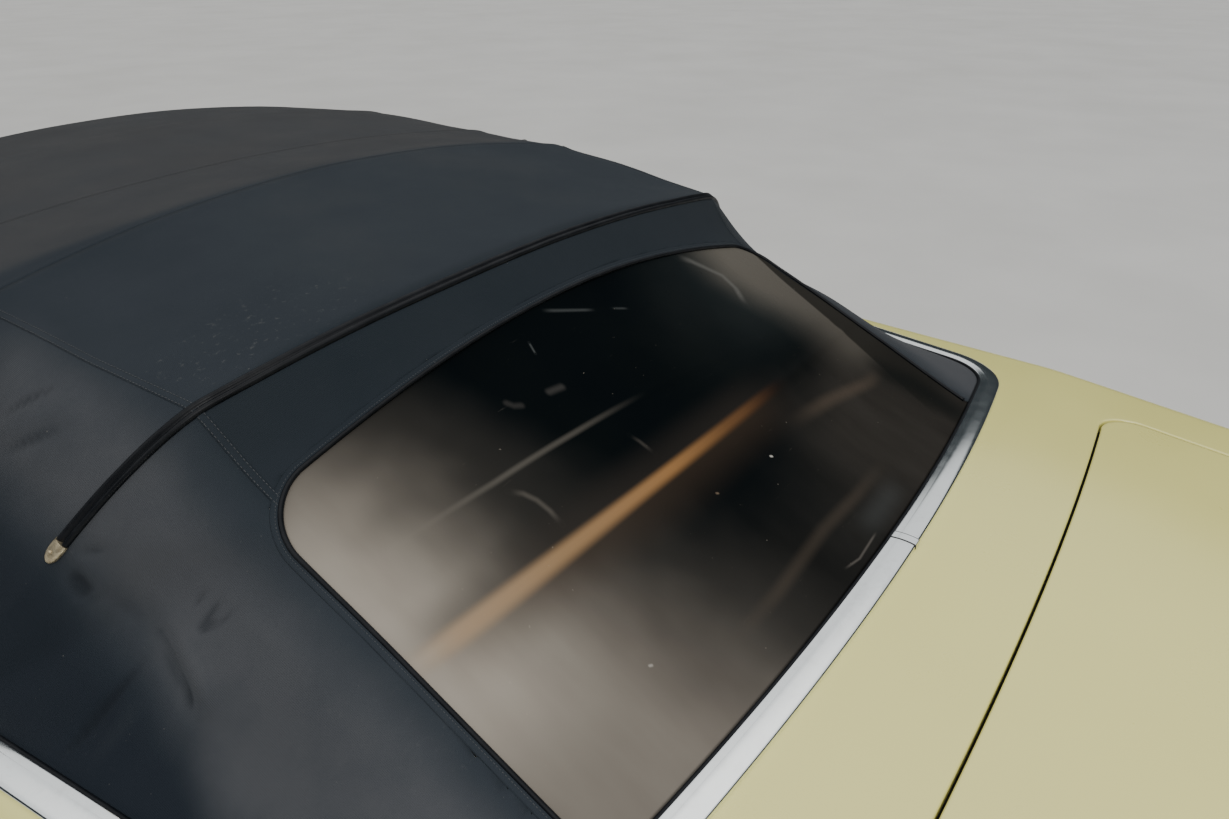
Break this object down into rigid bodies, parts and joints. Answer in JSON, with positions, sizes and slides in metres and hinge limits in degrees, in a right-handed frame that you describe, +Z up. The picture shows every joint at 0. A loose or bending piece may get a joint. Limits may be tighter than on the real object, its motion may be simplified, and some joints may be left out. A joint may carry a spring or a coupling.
{
  "type": "convertible soft top with rear body panel and boot lid",
  "caption": "Folding canvas roof with hazy plastic rear window, bright belt mouldings, upper rear body panel and hinged boot lid.",
  "frame": {"origin": "centre of the pattern of bolts through the base flanges of the two main pivot brackets, on their underside", "axes": "+X to the car's right, +Y towards the front of the car, +Z up"},
  "size_m": [1.539, 2.63, 0.5465],
  "materials": {
    "paint": "gloss cream paint, lightly aged",
    "bright": "polished bright metal with fine scratches",
    "canvas": "woven canvas, faded and scuffed",
    "window": "hazy smoked flexible plastic",
    "frame_steel": "satin black enamel",
    "zinc": "dull plated steel",
    "tip": "tarnished plated tip",
    "seal": "matt weather strip",
    "timber": "tack strip"
  },
  "bodies": {
    "body_panel": {"deck_panel": "paint", "tack_rail": "timber", "moulding_left": "bright", "moulding_right": "bright", "moulding_joint_cover": "bright", "pivot_bracket_left": "zinc", "pivot_bracket_right": "zinc", "lid_hinge_left": "zinc", "lid_hinge_right": "zinc", "rear_curtain": "canvas", "rear_window": "window", "quarter_cover_left": "canvas", "quarter_cover_right": "canvas", "roof_rear_cover": "canvas"},
    "rear_frame": {"main_link_left": "frame_steel", "main_link_right": "frame_steel", "knee_bow": "frame_steel", "roof_knee_cover": "canvas"},
    "rear_hoop": {"rear_bow": "frame_steel", "welt": "canvas", "welt_tip_left": "tip", "welt_tip_right": "tip"},
    "front_frame": {"side_rail_left": "frame_steel", "side_rail_right": "frame_steel", "middle_bow": "frame_steel", "front_bow": "frame_steel", "header_bow": "frame_steel", "header_seal": "seal", "locating_pin_left": "zinc", "locating_pin_right": "zinc", "latch_left": "zinc", "latch_right": "zinc", "side_seal_left": "seal", "side_seal_right": "seal", "roof_front_cover": "canvas"},
    "boot_lid": {"lid_panel": "paint", "lid_frame": "paint", "lid_arm_left": "zinc", "lid_arm_right": "zinc"}
  },
  "joints": [
    {"name": "main_fold", "type": "hinge", "parent": "body_panel", "child": "rear_frame", "pos_m": [0, 0, 0.15], "axis": [1, 0, 0], "range_deg": [0, 152], "deforming": ["rear_curtain", "rear_window", "quarter_cover_left", "quarter_cover_right", "roof_rear_cover"]},
    {"name": "front_fold", "type": "hinge", "parent": "rear_frame", "child": "front_frame", "pos_m": [0, 0.365, 0.412], "axis": [1, 0, 0], "range_deg": [-152, 0], "deforming": ["roof_knee_cover"]},
    {"name": "rear_hoop_fold", "type": "hinge", "parent": "body_panel", "child": "rear_hoop", "pos_m": [0, 0, 0.15], "axis": [1, 0, 0], "range_deg": [0, 90]},
    {"name": "lid_hinge", "type": "hinge", "parent": "body_panel", "child": "boot_lid", "pos_m": [0, -0.705, 0.124], "axis": [-1, 0, 0], "range_deg": [0, 70]}
  ],
  "couplings": [
    {"joint": "front_fold", "follows": "main_fold", "ratio": -1},
    {"joint": "rear_hoop_fold", "follows": "main_fold", "ratio": 0.59}
  ]
}
